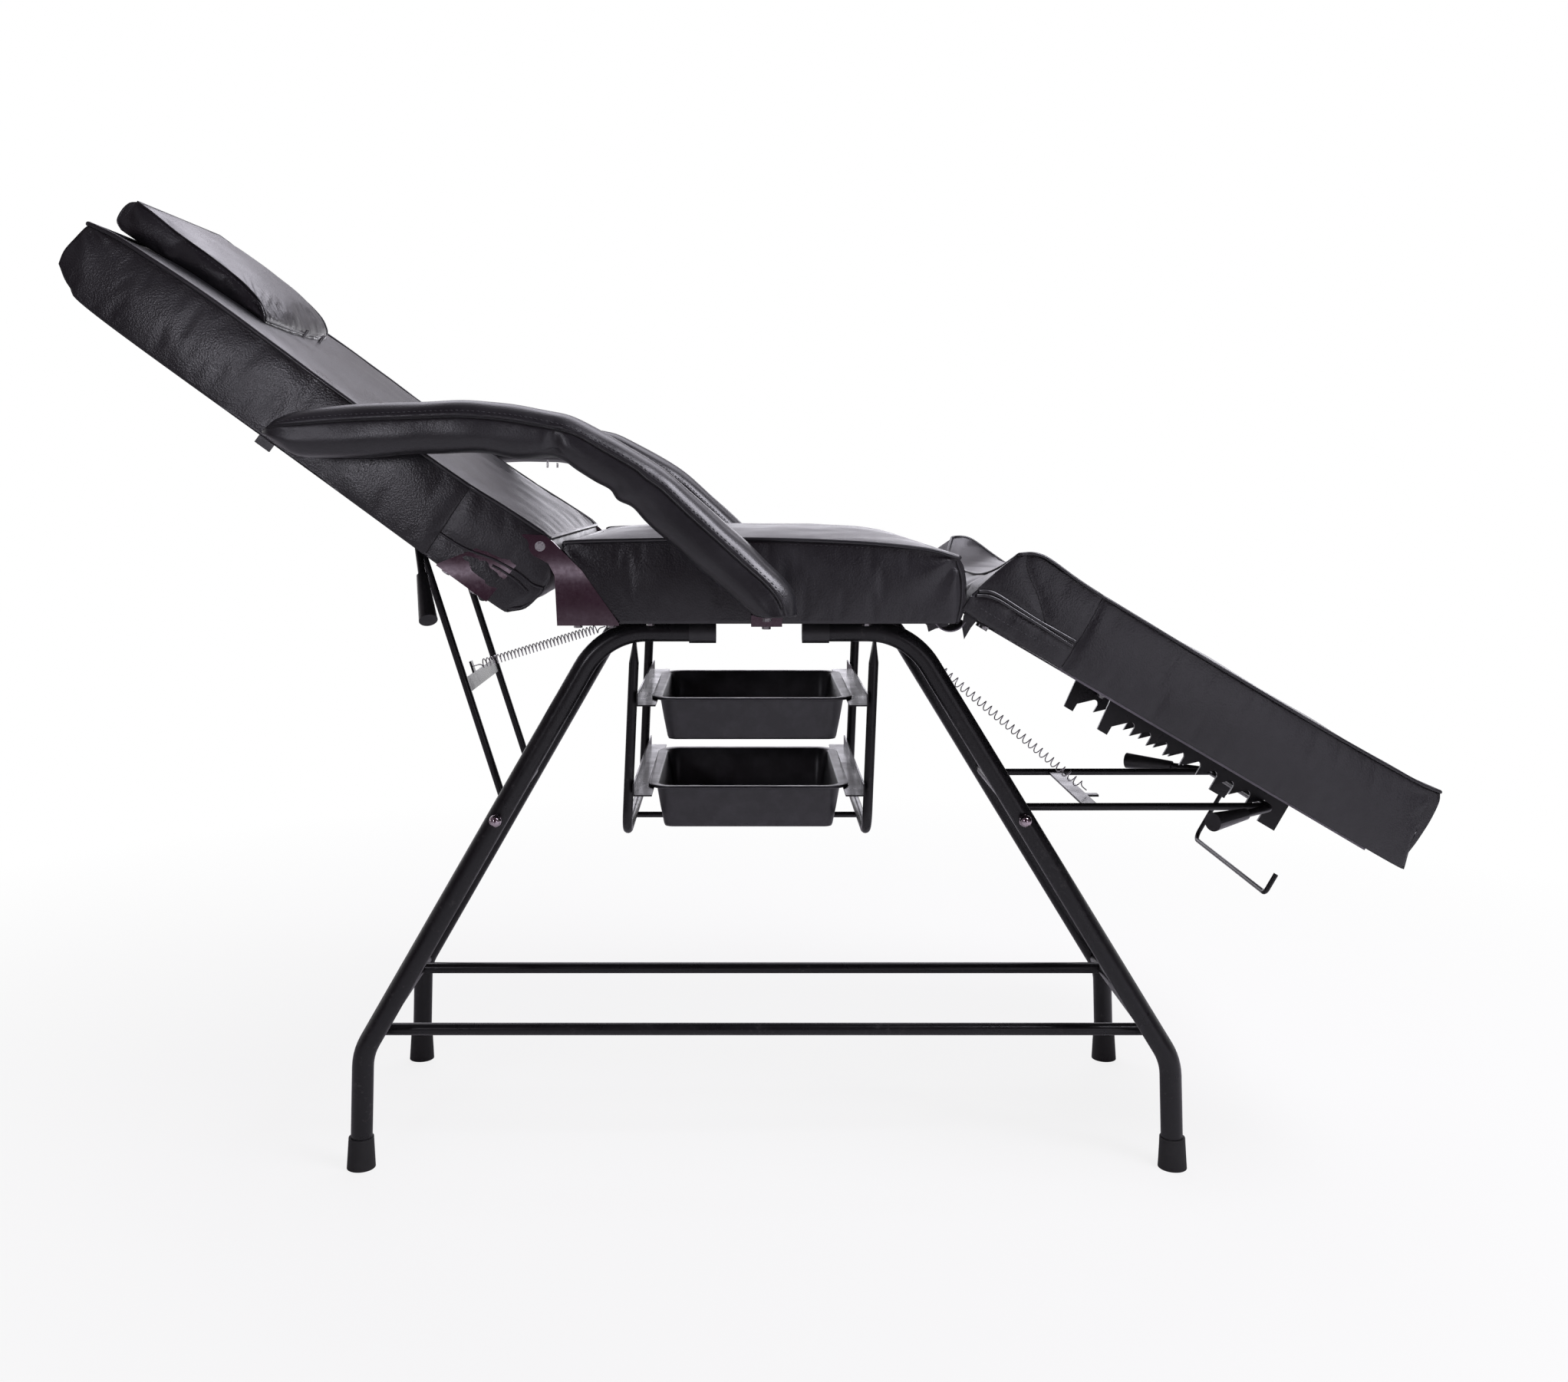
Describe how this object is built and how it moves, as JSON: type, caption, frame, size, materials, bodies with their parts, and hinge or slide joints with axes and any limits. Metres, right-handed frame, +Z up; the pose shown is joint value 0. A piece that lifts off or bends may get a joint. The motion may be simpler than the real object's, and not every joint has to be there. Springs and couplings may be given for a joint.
{
  "type": "reclining treatment chair",
  "caption": "Three-section reclining treatment chair with padded armrests, lift-off head pillow, notched racks and struts, sliding trays and a splayed tube frame.",
  "frame": {"origin": "on the floor, under the middle of the overall length and width", "axes": "+Z up, +X along the chair towards the feet, so the head end is at -X and the sitter's right side at -Y"},
  "size_m": [1.7047, 0.772, 1.2684],
  "materials": {
    "vinyl": "satin",
    "board": "matte black",
    "black_paint": "gloss",
    "rubber": "matte",
    "cap_plastic": "satin",
    "tray_plastic": "satin",
    "chrome": "polished",
    "zinc": "bright zinc",
    "spring_steel": "dark oiled"
  },
  "bodies": {
    "frame": {"leg_head_right": "black_paint", "leg_head_left": "black_paint", "leg_foot_right": "black_paint", "leg_foot_left": "black_paint", "rubber_feet": "rubber", "leg_end_caps": "cap_plastic", "cross_members": "black_paint", "stretcher_bars": "black_paint", "seat_rails": "black_paint", "frame_bolts": "zinc", "pivot_rods": "black_paint", "acorn_nuts": "chrome", "spring_anchors": "black_paint", "seat_board": "board", "seat_cushion": "vinyl", "seat_hinge_plates": "chrome", "back_hinge_pins": "zinc", "seat_hinge_leaves": "black_paint", "leg_hinge_pins": "black_paint", "vinyl_flap": "vinyl", "armrest_right": "vinyl", "armrest_left": "vinyl", "armrest_straps": "chrome", "armrest_pins": "zinc", "tray_frame_head": "black_paint", "tray_frame_foot": "black_paint", "tray_rails": "black_paint", "tray_tie_bar": "black_paint", "back_spring": "spring_steel", "leg_spring": "spring_steel"},
    "upper_tray": {"tray_upper": "tray_plastic"},
    "lower_tray": {"tray_lower": "tray_plastic"},
    "back": {"back_board": "board", "back_cushion": "vinyl", "back_hinge_plates": "chrome", "back_bolts": "zinc", "back_racks": "black_paint", "back_holder_socket": "cap_plastic"},
    "pillow": {"head_pillow": "vinyl", "pillow_pins": "zinc"},
    "leg_rest": {"leg_rest_board": "board", "leg_rest_cushion": "vinyl", "leg_rest_leaves": "black_paint", "leg_rest_bolts": "zinc", "leg_rest_racks": "black_paint", "holder_socket": "cap_plastic"},
    "holder": {"roll_holder": "black_paint"},
    "back_strut": {"back_strut_sleeve": "black_paint", "back_strut_rods": "black_paint", "back_strut_crossbar": "black_paint", "back_strut_plate": "black_paint", "back_strut_grips": "cap_plastic"},
    "leg_strut": {"leg_strut_sleeve": "black_paint", "leg_strut_rods": "black_paint", "leg_strut_crossbar": "black_paint", "leg_strut_plate": "black_paint", "leg_strut_grips": "cap_plastic"}
  },
  "joints": [
    {"name": "back_recline", "type": "hinge", "parent": "frame", "child": "back", "pos_m": [-0.2588, 0, 0.813], "axis": [0, 1, 0], "range_deg": [0, 30]},
    {"name": "leg_rest_lift", "type": "hinge", "parent": "frame", "child": "leg_rest", "pos_m": [0.2669, 0, 0.73], "axis": [0, -1, 0], "range_deg": [0, 30.5]},
    {"name": "back_strut_swing", "type": "hinge", "parent": "frame", "child": "back_strut", "pos_m": [-0.32938, 0, 0.455], "axis": [0, 1, 0], "range_deg": [0, 4.5], "deforming": ["back_spring"]},
    {"name": "leg_strut_swing", "type": "hinge", "parent": "frame", "child": "leg_strut", "pos_m": [0.35402, 0, 0.455], "axis": [0, -1, 0], "range_deg": [0, 30.5], "deforming": ["leg_spring"]},
    {"name": "pillow_lift", "type": "slide", "parent": "back", "child": "pillow", "axis": [0.5878, 0, 0.809], "range_m": [0, 0.06]},
    {"name": "holder_swivel", "type": "hinge", "parent": "leg_rest", "child": "holder", "pos_m": [0.73115, 0.15, 0.43448], "axis": [0.5075, 0, 0.8616], "range_deg": [-70, 90]},
    {"name": "upper_tray_slide", "type": "slide", "parent": "frame", "child": "upper_tray", "axis": [0, -1, 0], "range_m": [-0.18, 0.18]},
    {"name": "lower_tray_slide", "type": "slide", "parent": "frame", "child": "lower_tray", "axis": [0, -1, 0], "range_m": [-0.18, 0.18]}
  ],
  "couplings": [
    {"joint": "back_strut_swing", "follows": "back_recline", "ratio": 0.15},
    {"joint": "leg_strut_swing", "follows": "leg_rest_lift", "ratio": 1}
  ]
}
